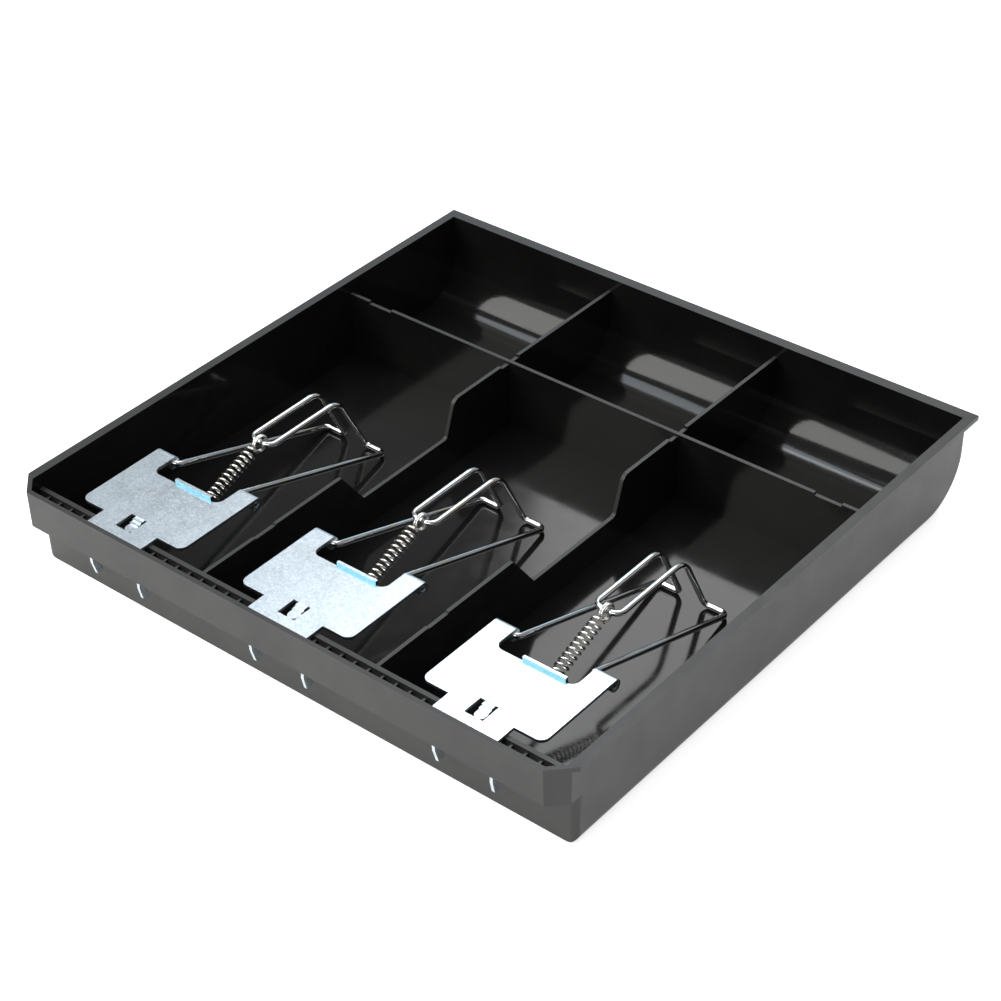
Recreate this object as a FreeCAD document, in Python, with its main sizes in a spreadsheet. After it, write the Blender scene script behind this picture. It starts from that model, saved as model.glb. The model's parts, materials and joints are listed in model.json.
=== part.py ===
import FreeCAD, Part
import math
import os
import re

# Cash tray: a moulded insert with three note bays, three coin cups and three sprung note clips.
# Millimetres. X runs along the front edge, Y to the rear, Z up, the origin is the bottom centre.

DIMENSIONS = {
    # moulded tray, outside
    "width": 246.0,
    "depth": 239.4,
    "height": 35.3,
    "side_lip": 1.8,
    "side_lean": 0.7,
    "corner_cut": 8.0,
    "ledge_reach": 8.8,
    "ledge_low": 20.5,
    "flange_reach": 2.7,
    "flange_thick": 1.8,
    "wall": 1.8,
    "scoop_round": 22.0,
    "front_corner_round": 3.0,
    "back_corner_round": 4.5,
    # moulded tray, inside
    "rim_width": 3.7,
    "inner_lean": 1.1,
    "inner_corner_cut": 4.9,
    "web_top": 29.7,
    "web_thick": 1.5,
    "divider_offset": 39.1,
    "cross_web_place": 52.6,
    "notch_floor": 15.0,
    "notch_rear_top": 20.2,
    "notch_rear_foot": 14.8,
    "notch_front_foot": 31.0,
    "notch_front_top": 41.6,
    "notch_bend": 4.1,
    "notch_foot_round": 2.0,
    "step_drop": 0.9,
    "joint_step_half": 5.2,
    "cross_step_inner": 98.0,
    "cross_step_outer": 109.3,
    "front_step_drop": 0.5,
    "front_step_near": 85.0,
    "front_step_far": 75.0,
    "rib_thick": 0.9,
    "rib_pitch": 5.85,
    "rib_first": 2.45,
    "rib_top": 28.9,
    # clips
    "clip_left": -77.4,
    "clip_centre": -0.3,
    "clip_right": 79.7,
    "sheet": 1.2,
    "tab_half": 13.2,
    "tab_front": 117.6,
    "plate_half": 24.7,
    "plate_front": 106.4,
    "plate_rear": 80.2,
    "ear_inner": 16.2,
    "plate_round": 3.2,
    "window_half": 3.75,
    "window_front": 110.1,
    "window_rear": 102.1,
    "tongue_half": 2.1,
    "tongue_tread": 1.5,
    "tongue_drop": 0.6,
    "leg_front": 116.4,
    "leg_depth": 4.0,
    "leg_foot": 9.3,
    "leg_lean": 3.0,
    "leg_clear_inner": 10.8,
    "leg_clear_outer": 13.7,
    "leg_sink": 0.12,
    "leg_rake": 1.2,
    "leg_rake_tall": 5.0,
    "flange_left": 4.7,
    "flange_right": 12.8,
    "bend_outer": 1.8,
    "lug_half": 4.5,
    "lug_top": 23.0,
    "lug_foot": 15.6,
    "lug_hole": 1.3,
    "lug_hole_height": 18.7,
    "pivot_place": 69.8,
    "pivot_gap": 0.05,
    "curl_opening": 2.0,
    # wire bail
    "bail_wire": 1.1,
    "bail_end": 24.2,
    "bail_arm": 14.8,
    "presser_place": 6.4,
    "presser_gap": 0.15,
    "handle_half": 5.0,
    "handle_height": 29.4,
    "handle_front": 42.5,
    "handle_rear": 6.1,
    "elbow_round": 1.6,
    "presser_round": 2.6,
    "crest_round": 8.5,
    "hook_bar_round": 3.0,
    # extension spring
    "spring_wire": 0.4,
    "coil_round": 2.3,
    "coil_pitch": 2.25,
    "coil_turns": 14.0,
    "lug_loop": 2.3,
    "bar_loop": 2.75,
    "bar_slack": 0.1,
    "lug_slack": 0.3,
    "loop_opening": 50.0,
}

CLIPS = ("left", "centre", "right")

doc = FreeCAD.newDocument("cash_tray")
sheet = doc.addObject("Spreadsheet::Sheet", "sizes")
for row, (alias, value) in enumerate(DIMENSIONS.items(), start=1):
    sheet.set(f"A{row}", alias)
    sheet.set(f"B{row}", str(value))
    sheet.setAlias(f"B{row}", alias)
doc.recompute()


def size(alias):
    """The value of one cell of the sheet."""
    return float(sheet.get(alias))


def bind(item, **formulas):
    """Ties properties of an object to the sheet; the words of a formula are the sheet's aliases."""
    paths = {"x": "Placement.Base.x", "y": "Placement.Base.y", "z": "Placement.Base.z"}
    for prop, formula in formulas.items():
        text = re.sub(r"\b[a-z]\w*", lambda word: "sizes." + word.group(0), formula)
        item.setExpression(paths.get(prop, prop), text)
    return item


def block(name, x, y, z):
    """A box between two limits on each axis."""
    item = doc.addObject("Part::Box", name)
    return bind(
        item,
        x=x[0],
        y=y[0],
        z=z[0],
        Length=f"({x[1]})-({x[0]})",
        Width=f"({y[1]})-({y[0]})",
        Height=f"({z[1]})-({z[0]})",
    )


def tapered(name, low_x, low_y, high_x, high_y, z):
    """A block whose bottom and top rectangles differ, standing between two heights."""
    item = doc.addObject("Part::Wedge", name)
    item.Placement.Rotation = FreeCAD.Rotation(FreeCAD.Vector(1, 0, 0), 90)
    return bind(
        item,
        z=z[0],
        Ymin="0",
        Ymax=f"({z[1]})-({z[0]})",
        Xmin=low_x[0],
        Xmax=low_x[1],
        Zmin=f"-({low_y[1]})",
        Zmax=f"-({low_y[0]})",
        X2min=high_x[0],
        X2max=high_x[1],
        Z2min=f"-({high_y[1]})",
        Z2max=f"-({high_y[0]})",
    )


def rod(name, radius, x, y, z):
    """A cylinder that lies along X between two limits."""
    item = doc.addObject("Part::Cylinder", name)
    item.Placement.Rotation = FreeCAD.Rotation(FreeCAD.Vector(0, 1, 0), 90)
    return bind(item, Radius=radius, Height=f"({x[1]})-({x[0]})", x=x[0], y=y, z=z)


def joined(name, *items):
    """The union of several objects."""
    item = doc.addObject("Part::MultiFuse", name)
    item.Shapes = list(items)
    item.Refine = True
    return item


def carved(name, base, *tools):
    """A base less its tools."""
    item = doc.addObject("Part::Cut", name)
    item.Base = base
    item.Tool = tools[0] if len(tools) == 1 else joined(name + "_tools", *tools)
    item.Refine = True
    return item


def shared(name, *items):
    """The space that two objects have in common."""
    item = doc.addObject("Part::MultiCommon", name)
    item.Shapes = list(items)
    return item


def rounded(name, base, picks, kind="Part::Fillet"):
    """Rounds or cuts edges; picks pairs a test of an edge's middle and direction with a size."""
    doc.recompute()
    chosen = []
    for number, edge in enumerate(base.Shape.Edges, start=1):
        ends = [vertex.Point for vertex in edge.Vertexes]
        if len(ends) != 2:
            continue
        middle = (ends[0] + ends[1]) * 0.5
        run = ends[1] - ends[0]
        for test, radius in picks:
            if test(middle, run):
                chosen.append((number, radius, radius))
                break
    item = doc.addObject(kind, name)
    item.Base = base
    item.Edges = chosen
    return item


def near(value, target, slack=0.05):
    """Whether two lengths agree."""
    return abs(value - target) < slack


def scooped(name, base, x, radius, axis_place, axis_height, back):
    """Rounds the lower back edge of a block to a large radius, by cutting the corner outside it."""
    corner = block(name + "_corner", x, (axis_place, back), ("-1", axis_height))
    roller = rod(name + "_roller", radius, x, axis_place, axis_height)
    return carved(name, base, carved(name + "_waste", corner, roller))


def make_tray():
    """The moulded tray: drafted shell, front ledge with ribs, back flange, dividers and scoops."""
    wide = ("-width/2-1", "width/2+1")
    front_face = "-depth/2+ledge_reach"
    back_face = "depth/2-flange_reach"
    scoop_axis = "depth/2-flange_reach-scoop_round"

    full_x = ("-width/2", "width/2")
    full_y = ("-depth/2", "depth/2")
    lip_low = "height-flange_thick"
    walls = tapered(
        "tray_walls",
        ("-width/2+side_lip+side_lean", "width/2-side_lip-side_lean"),
        full_y,
        ("-width/2+side_lip", "width/2-side_lip"),
        full_y,
        ("0", lip_low),
    )
    lip = block("tray_lip", full_x, full_y, (lip_low, "height"))
    front = -size("depth") / 2
    corners = [(lambda mid, run: near(mid.y, front) and abs(run.z) > 1, size("corner_cut"))]
    outline = block("tray_outline", full_x, full_y, ("0", "height"))
    outline = rounded("tray_cut_corners", outline, corners, "Part::Chamfer")
    blank = shared("tray_blank", joined("tray_lipped", walls, lip), outline)
    under_ledge = block("under_ledge", wide, ("-depth/2-1", front_face), ("-1", "ledge_low"))
    under_flange = block("under_flange", wide, (back_face, "depth/2+1"), ("-1", lip_low))
    body = carved("tray_body", blank, under_ledge, under_flange)
    body = scooped(
        "tray_scoop", body, wide, "scoop_round", scoop_axis, "scoop_round", "depth/2+1"
    )
    face_y = front + size("ledge_reach")
    back_y = -front - size("flange_reach")
    side_x = size("width") / 2 - size("side_lip") - size("side_lean") - 1
    upright = [
        (
            lambda mid, run: near(mid.y, face_y) and abs(mid.x) > side_x and abs(run.z) > 5,
            size("front_corner_round"),
        ),
        (
            lambda mid, run: near(mid.y, back_y) and abs(mid.x) > side_x and abs(run.z) > 5,
            size("back_corner_round"),
        ),
    ]
    body = rounded("tray_rounded", body, upright)

    inner = ("-width/2+rim_width", "width/2-rim_width")
    inner_foot = ("-width/2+rim_width+inner_lean", "width/2-rim_width-inner_lean")
    inner_y = (front_face + "+wall", back_face + "-wall")
    over = "height+1"
    cavity = tapered("cavity_blank", inner_foot, inner_y, inner, inner_y, ("wall", over))
    cavity = scooped(
        "cavity", cavity, wide, "scoop_round-wall", scoop_axis, "scoop_round", "depth/2"
    )
    channel = block(
        "channel_blank", inner, ("-depth/2+wall", front_face), ("ledge_low-1", over)
    )
    skirt_y = front + size("wall")
    bevels = [(lambda mid, run: near(mid.y, skirt_y) and abs(run.z) > 1, size("inner_corner_cut"))]
    channel = rounded("channel", channel, bevels, "Part::Chamfer")
    low_front = block(
        "low_front_wall", inner, (front_face + "-0.5", front_face + "+wall+0.5"), ("web_top", over)
    )
    shell = carved("tray_shell", body, cavity, channel, low_front)

    webs = [make_divider("left_divider", "-divider_offset")]
    webs.append(make_divider("right_divider", "divider_offset"))
    webs.append(make_cross_web())
    webs.extend(make_ribs())
    inside = shared("webs_inside", joined("webs", *webs), body)
    tray = joined("tray_solid", shell, inside)
    tray.Label = "tray"
    return tray


def make_divider(name, place):
    """A divider along Y with a finger notch, and shallow steps at the crossing and near the front."""
    x = (place + "-web_thick/2", place + "+web_thick/2")
    y = ("-depth/2+ledge_reach+wall/2", "depth/2-flange_reach-wall/2")
    web = block(name + "_web", x, y, ("wall/2", "web_top"))
    notch = tapered(
        name + "_notch",
        x,
        ("-notch_front_foot", "notch_rear_foot"),
        x,
        ("-notch_front_top", "notch_rear_top"),
        ("notch_floor", "web_top"),
    )
    crossing = block(
        name + "_crossing_step",
        x,
        ("cross_web_place-joint_step_half", "cross_web_place+joint_step_half"),
        ("web_top-step_drop", "web_top"),
    )
    front_step = block(
        name + "_front_step",
        x,
        ("-front_step_near", "-front_step_far"),
        ("web_top-front_step_drop", "web_top"),
    )
    web = carved(name + "_stepped", web, notch, crossing, front_step)
    rear_top = size("notch_rear_top")
    rear_foot = size("notch_rear_foot")
    top = size("web_top")
    foot = size("notch_floor")
    bends = [
        (
            lambda mid, run: near(mid.y, rear_top) and near(mid.z, top) and abs(run.x) > 1,
            size("notch_bend"),
        ),
        (
            lambda mid, run: near(mid.y, rear_foot) and near(mid.z, foot) and abs(run.x) > 1,
            size("notch_foot_round"),
        ),
    ]
    return rounded(name, web, bends)


def make_cross_web():
    """The divider along X between the note bays and the coin cups, stepped down near its ends."""
    y = ("cross_web_place-web_thick/2", "cross_web_place+web_thick/2")
    web = block(
        "cross_web_blank", ("-width/2+rim_width/2", "width/2-rim_width/2"), y, ("wall/2", "web_top")
    )
    step_z = ("web_top-step_drop", "web_top")
    left = block("cross_step_left", ("-cross_step_outer", "-cross_step_inner"), y, step_z)
    right = block("cross_step_right", ("cross_step_inner", "cross_step_outer"), y, step_z)
    return carved("cross_web", web, left, right)


def make_ribs():
    """The thin ribs that carry the ledge's skirt, left out wherever a clip's leg hangs through."""
    centres = [size("clip_" + side) for side in CLIPS]
    reach = size("width") / 2 - size("rim_width") - size("inner_corner_cut") - size("rib_first")
    ribs = []
    for step in range(int(reach / size("rib_pitch")) + 1):
        for hand, sign in (("left", -1), ("right", 1)):
            place = sign * (size("rib_first") + step * size("rib_pitch"))
            gaps = [abs(place - centre) for centre in centres]
            if any(size("leg_clear_inner") < gap < size("leg_clear_outer") for gap in gaps):
                continue
            centre = f"{sign}*(rib_first+{step}*rib_pitch)"
            ribs.append(
                block(
                    f"{hand}_rib_{step}",
                    (centre + "-rib_thick/2", centre + "+rib_thick/2"),
                    ("-depth/2+wall/2", "-depth/2+ledge_reach+wall/2"),
                    ("ledge_low", "rib_top"),
                )
            )
    return ribs


def make_plate(side):
    """A clip's base plate: blanked sheet with window, tongue, two legs, a spring lug and two curls."""
    body = doc.addObject("PartDesign::Body", side + "_sheet")
    sketch = body.newObject("Sketcher::SketchObject", side + "_sheet_outline")
    plane = [item for item in body.Origin.OriginFeatures if item.Role == "XY_Plane"][0]
    sketch.AttachmentSupport = (plane, [""])
    sketch.MapMode = "FlatFace"
    sketch.setExpression("AttachmentOffset.Base.z", "sizes.web_top")
    half = [
        (0.0, -size("tab_front")),
        (size("tab_half"), -size("tab_front")),
        (size("tab_half"), -size("plate_front")),
        (size("plate_half"), -size("plate_front")),
        (size("plate_half"), -size("pivot_place")),
        (size("ear_inner"), -size("pivot_place")),
        (size("ear_inner"), -size("plate_rear")),
        (0.0, -size("plate_rear")),
    ]
    outline = half + [(-x, y) for x, y in half[-2:0:-1]]
    window = [
        (size("window_half"), -size("window_front")),
        (size("window_half"), -size("window_rear")),
        (-size("window_half"), -size("window_rear")),
        (-size("window_half"), -size("window_front")),
    ]
    for loop in (outline, window):
        for start, end in zip(loop, loop[1:] + loop[:1]):
            line = Part.LineSegment(FreeCAD.Vector(*start, 0), FreeCAD.Vector(*end, 0))
            sketch.addGeometry(line)
    pad = body.newObject("PartDesign::Pad", side + "_sheet_pad")
    pad.Profile = sketch
    pad.setExpression("Length", "sizes.sheet")
    doc.recompute()
    corners = []
    for number, edge in enumerate(pad.Shape.Edges, start=1):
        start, end = [vertex.Point for vertex in edge.Vertexes]
        upright = abs(end.z - start.z) > 0.5
        shoulder = near(abs(start.x), size("plate_half")) and near(start.y, -size("plate_front"))
        inner = near(abs(start.x), size("ear_inner")) and near(start.y, -size("plate_rear"))
        if upright and (shoulder or inner):
            corners.append(f"Edge{number}")
    fillet = body.newObject("PartDesign::Fillet", side + "_sheet_rounds")
    fillet.Base = (pad, corners)
    fillet.setExpression("Radius", "sizes.plate_round")
    body.Tip = fillet

    pieces = [body, *make_tongue(side), *make_legs(side), make_lug(side), *make_curls(side)]
    plate = joined(side + "_plate_solid", *pieces)
    plate.Label = side + "_clip_plate"
    return plate


def make_tongue(side):
    """The tongue lanced out of the window's rear edge, stepped down and round at its tip."""
    steps = []
    for number in range(3):
        near_edge = f"-window_rear-{number + 1}*tongue_tread"
        far_edge = f"-window_rear-{number}*tongue_tread+0.2"
        low = f"web_top-{number + 1}*tongue_drop"
        steps.append(
            block(
                f"{side}_tongue_{number}",
                ("-tongue_half", "tongue_half"),
                (near_edge, far_edge),
                (low, low + "+sheet"),
            )
        )
    tip = doc.addObject("Part::Cylinder", side + "_tongue_tip")
    bind(
        tip,
        Radius="tongue_half",
        Height="sheet",
        y="-window_rear-3*tongue_tread",
        z="web_top-3*tongue_drop",
    )
    return [*steps, tip]


def make_legs(side):
    """The legs bent down from the tab's sides: they lean in, and their feet are raked back."""
    legs = []
    for hand, sign in (("a", -1), ("b", 1)):
        inner, outer = ("-sheet", "0") if sign > 0 else ("0", "sheet")
        shank = block(
            f"{side}_shank_{hand}",
            (inner, outer),
            ("-leg_front", "-leg_front+leg_depth"),
            ("leg_foot+leg_rake_tall-web_top-sheet", "-leg_sink"),
        )
        foot = tapered(
            f"{side}_foot_{hand}",
            (inner, outer),
            ("-leg_front+leg_rake", "-leg_front+leg_depth"),
            (inner, outer),
            ("-leg_front", "-leg_front+leg_depth"),
            ("leg_foot-web_top-sheet", "leg_foot+leg_rake_tall-web_top-sheet"),
        )
        leg = joined(f"{side}_leg_{hand}", shank, foot)
        leg.Placement.Rotation = FreeCAD.Rotation(
            FreeCAD.Vector(0, 1, 0), sign * size("leg_lean")
        )
        bind(leg, x=f"{sign}*tab_half", z="web_top+sheet")
        legs.append(leg)
    return legs


def make_lug(side):
    """The spring lug: a strip of the rear edge bent down, narrowing to a tongue with a hole."""
    x = ("-flange_left", "flange_right")
    bend_z = "web_top+sheet-bend_outer"
    sheet_y = ("-plate_rear+bend_outer-sheet", "-plate_rear+bend_outer")
    elbow = carved(
        side + "_lug_elbow",
        rod(side + "_elbow_outer", "bend_outer", x, "-plate_rear", bend_z),
        rod(side + "_elbow_inner", "bend_outer-sheet", x, "-plate_rear", bend_z),
    )
    quarter = block(
        side + "_elbow_quarter", x, ("-plate_rear", "-plate_rear+bend_outer"), (bend_z, "web_top+sheet")
    )
    bend = shared(side + "_lug_bend", elbow, quarter)
    web = block(side + "_lug_web", x, sheet_y, ("lug_top", bend_z))
    tail = block(side + "_lug_tail", ("-lug_half", "lug_half"), sheet_y, ("lug_foot", "lug_top"))
    hole = doc.addObject("Part::Cylinder", side + "_lug_hole")
    hole.Placement.Rotation = FreeCAD.Rotation(FreeCAD.Vector(1, 0, 0), -90)
    bind(hole, Radius="lug_hole", Height="2*sheet", y="-plate_rear+bend_outer-1.5*sheet")
    bind(hole, z="lug_hole_height")
    return carved(side + "_lug", joined(side + "_lug_strip", bend, web, tail), hole)


def make_curls(side):
    """The ears' rear ends, rolled down round the bail's ends and left open at the front."""
    curls = []
    pivot_z = "web_top-bail_wire-pivot_gap"
    for hand, x in (("a", ("-plate_half", "-ear_inner")), ("b", ("ear_inner", "plate_half"))):
        barrel = rod(
            f"{side}_barrel_{hand}", "bail_wire+pivot_gap+sheet", x, "-pivot_place", pivot_z
        )
        bore = rod(f"{side}_bore_{hand}", "bail_wire+pivot_gap", x, "-pivot_place", pivot_z)
        gap = block(
            f"{side}_curl_gap_{hand}",
            x,
            ("-pivot_place-bail_wire-2*sheet", "-pivot_place"),
            (pivot_z + "-curl_opening/2-bail_wire/2", pivot_z + "+curl_opening/2-bail_wire/2"),
        )
        curls.append(carved(f"{side}_curl_{hand}", barrel, bore, gap))
    return curls


def rounded_path(corners):
    """A wire of straight runs joined by arcs; each corner is a point and its bend radius."""
    edges = []
    start = corners[0][0]
    for (before, _), (point, radius), (after, _) in zip(corners, corners[1:], corners[2:]):
        back = (before - point).normalize()
        ahead = (after - point).normalize()
        half_angle = back.getAngle(ahead) / 2
        reach = radius / math.tan(half_angle)
        first = point + back * reach
        last = point + ahead * reach
        centre = point + (back + ahead).normalize() * (radius / math.sin(half_angle))
        middle = centre + (point - centre).normalize() * radius
        edges.append(Part.LineSegment(start, first).toShape())
        edges.append(Part.Arc(first, middle, last).toShape())
        start = last
    edges.append(Part.LineSegment(start, corners[-1][0]).toShape())
    return Part.Wire(edges)


def make_bail(side):
    """The wire bail: hinge ends, arms, two feet that press the notes, legs and a looped handle."""
    pivot_y = -size("pivot_place")
    pivot_z = size("web_top") - size("bail_wire") - size("pivot_gap")
    floor_z = size("wall") + size("bail_wire") + size("presser_gap")
    presser_y = size("presser_place")
    handle_z = size("handle_height")
    half = [
        (FreeCAD.Vector(size("bail_end"), pivot_y, pivot_z), 0.0),
        (FreeCAD.Vector(size("bail_arm"), pivot_y, pivot_z), size("elbow_round")),
        (FreeCAD.Vector(size("bail_arm"), presser_y, floor_z), size("presser_round")),
        (FreeCAD.Vector(size("handle_half"), presser_y, floor_z), size("presser_round")),
        (
            FreeCAD.Vector(size("handle_half"), -size("handle_rear"), handle_z),
            size("crest_round"),
        ),
        (
            FreeCAD.Vector(size("handle_half"), -size("handle_front"), handle_z),
            size("hook_bar_round"),
        ),
    ]
    mirrored = [(FreeCAD.Vector(-point.x, point.y, point.z), bend) for point, bend in half[::-1]]
    line = doc.addObject("Part::Feature", side + "_bail_line")
    line.Shape = rounded_path(half + mirrored)
    section = doc.addObject("Part::Circle", side + "_bail_section")
    section.Placement = FreeCAD.Placement(
        half[0][0], FreeCAD.Rotation(FreeCAD.Vector(0, 1, 0), -90)
    )
    bind(section, Radius="bail_wire")
    bail = doc.addObject("Part::Sweep", side + "_bail_wire")
    bail.Sections = [section]
    bail.Spine = (line, [f"Edge{number}" for number in range(1, len(line.Shape.Edges) + 1)])
    bail.Solid = True
    bail.Frenet = False
    bail.Label = side + "_clip_bail"
    return bail


def loop_arc(centre_height, radius, toward_coil, heading):
    """An open ring in the YZ plane that starts on the axis, on the side that faces the coil."""
    sweep = math.radians(360 - size("loop_opening"))
    stops = [
        FreeCAD.Vector(
            0,
            heading * radius * math.sin(angle),
            centre_height + toward_coil * radius * math.cos(angle),
        )
        for angle in (0, sweep / 2, sweep)
    ]
    return Part.Arc(*stops).toShape()


def link_curve(start, start_heading, middle, end, end_heading):
    """A short smooth curve that leaves and arrives along the given headings."""
    curve = Part.BSplineCurve()
    curve.interpolate(
        Points=[start, middle, end], InitialTangent=start_heading, FinalTangent=end_heading
    )
    return curve.toShape()


def spring_path(length):
    """One line for the whole wire: loop, link, helix, link, loop, standing on the Z axis."""
    radius = size("coil_round")
    tall = size("coil_pitch") * size("coil_turns")
    low = (length - tall + size("lug_loop") - size("bar_loop")) / 2
    high = low + tall
    lug_top = size("lug_loop")
    bar_foot = length - size("bar_loop")
    rise = size("coil_pitch") / (2 * math.pi * radius)
    stretch = math.pi * radius / 2

    helix = Part.makeHelix(size("coil_pitch"), tall, radius)
    helix.translate(FreeCAD.Vector(0, 0, low))
    lug_link = link_curve(
        FreeCAD.Vector(radius, 0, low),
        FreeCAD.Vector(0, -1, -rise) * stretch,
        FreeCAD.Vector(radius / 2, -radius / 2, (low + lug_top) / 2),
        FreeCAD.Vector(0, 0, lug_top),
        FreeCAD.Vector(0, 1, 0) * stretch,
    )
    bar_link = link_curve(
        FreeCAD.Vector(radius, 0, high),
        FreeCAD.Vector(0, 1, rise) * stretch,
        FreeCAD.Vector(radius / 2, radius / 2, (high + bar_foot) / 2),
        FreeCAD.Vector(0, 0, bar_foot),
        FreeCAD.Vector(0, -1, 0) * stretch,
    )
    lug_ring = loop_arc(0, size("lug_loop"), 1, 1)
    bar_ring = loop_arc(length, size("bar_loop"), -1, -1)
    edges = [lug_ring, lug_link, *helix.Edges, bar_link, bar_ring]
    return Part.Wire(Part.__sortEdges__(edges))


def make_spring(side):
    """The extension spring: a coil with a loop at each end, laid from the lug's hole to the handle."""
    lug = FreeCAD.Vector(
        0,
        -size("plate_rear") + size("bend_outer") - size("sheet") / 2,
        (size("lug_foot") + size("lug_hole_height") - size("lug_hole")) / 2,
    )
    bar = FreeCAD.Vector(0, -size("handle_front"), size("handle_height"))
    run = bar - lug
    length = run.Length - size("bar_slack") + size("lug_slack")
    line = doc.addObject("Part::Feature", side + "_spring_line")
    line.Shape = spring_path(length)
    first = line.Shape.OrderedEdges[0]
    start = line.Shape.OrderedVertexes[0].Point
    heading = first.tangentAt(first.getParameterByLength(0))
    if (first.valueAt(first.FirstParameter) - start).Length > 0.01:
        heading = first.tangentAt(first.LastParameter)
    section = doc.addObject("Part::Circle", side + "_spring_section")
    section.Placement = FreeCAD.Placement(
        start, FreeCAD.Rotation(FreeCAD.Vector(0, 0, 1), heading)
    )
    bind(section, Radius="spring_wire")
    spring = doc.addObject("Part::Sweep", side + "_spring_wire")
    spring.Sections = [section]
    spring.Spine = (line, [f"Edge{number}" for number in range(1, len(line.Shape.Edges) + 1)])
    spring.Solid = True
    spring.Frenet = True
    spring.Label = side + "_clip_spring"
    spring.Placement = FreeCAD.Placement(
        lug - run * (size("lug_slack") / run.Length),
        FreeCAD.Rotation(FreeCAD.Vector(0, 0, 1), run),
    )
    return spring


def main():
    """Builds every sub-part, checks the document and writes one STEP file for each."""
    parts = [make_tray()]
    for side in CLIPS:
        for piece in (make_plate(side), make_bail(side), make_spring(side)):
            bind(piece, x="clip_" + side)
            parts.append(piece)
    doc.recompute()
    for item in doc.Objects:
        if "Invalid" in item.State or "Error" in item.State:
            raise RuntimeError(f"{item.Label}: {item.State}")
    for piece in parts:
        if piece.Shape.isNull() or not piece.Shape.isValid():
            raise RuntimeError(f"{piece.Label}: its shape is null or not valid")
    os.makedirs("parts", exist_ok=True)
    for piece in parts:
        piece.Shape.exportStep(f"parts/{piece.Label}.step")
        box = piece.Shape.BoundBox
        print(
            f"{piece.Label}: {len(piece.Shape.Solids)} solid, {piece.Shape.Volume:.0f} mm3,",
            f"x {box.XMin:.2f}..{box.XMax:.2f}, y {box.YMin:.2f}..{box.YMax:.2f},",
            f"z {box.ZMin:.2f}..{box.ZMax:.2f}",
        )


main()
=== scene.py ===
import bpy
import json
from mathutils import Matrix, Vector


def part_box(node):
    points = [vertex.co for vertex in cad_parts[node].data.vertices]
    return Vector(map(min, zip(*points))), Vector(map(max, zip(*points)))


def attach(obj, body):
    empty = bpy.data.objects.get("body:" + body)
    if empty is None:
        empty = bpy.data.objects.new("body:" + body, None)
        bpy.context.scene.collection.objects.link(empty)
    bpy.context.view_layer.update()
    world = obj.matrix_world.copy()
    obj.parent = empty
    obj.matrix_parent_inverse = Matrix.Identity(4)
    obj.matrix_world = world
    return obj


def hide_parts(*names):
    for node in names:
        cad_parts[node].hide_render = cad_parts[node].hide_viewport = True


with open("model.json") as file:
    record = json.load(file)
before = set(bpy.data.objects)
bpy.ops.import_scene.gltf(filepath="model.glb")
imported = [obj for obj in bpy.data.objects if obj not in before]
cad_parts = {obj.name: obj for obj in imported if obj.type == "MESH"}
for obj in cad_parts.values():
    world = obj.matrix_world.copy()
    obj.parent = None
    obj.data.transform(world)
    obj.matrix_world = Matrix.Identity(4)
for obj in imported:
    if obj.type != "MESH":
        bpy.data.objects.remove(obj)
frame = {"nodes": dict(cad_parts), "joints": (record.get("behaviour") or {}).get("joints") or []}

"""The looks of a moulded cash tray with three sprung note clips.

All lengths are in metres, in the tray's own frame.
"""

import json
import logging
import math
from dataclasses import dataclass
from enum import Enum
from itertools import accumulate
from typing import Any

import bmesh
import bpy
import numpy as np
from mathutils import Matrix, Vector

MM = 0.001
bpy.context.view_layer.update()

WIRE_MAP = "wire_map"
SHARP_EDGE = math.radians(34)

Colour = tuple[float, float, float]
Point = tuple[float, float, float]
Span = tuple[float, float]

# A noise field seldom leaves these values: the wider span keeps more of its middle greys.
CLOUD_SPAN: Span = (0.3, 0.7)
HAZE_SPAN: Span = (0.35, 0.65)
FULL_SPAN: Span = (0.0, 1.0)

log = logging.getLogger("cash_tray")


class Side(Enum):
    """The three clips, by their place along the front edge."""

    LEFT = "left"
    CENTRE = "centre"
    RIGHT = "right"


# ---------------------------------------------------------------------------------------------
# Finishes
# ---------------------------------------------------------------------------------------------


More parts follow.
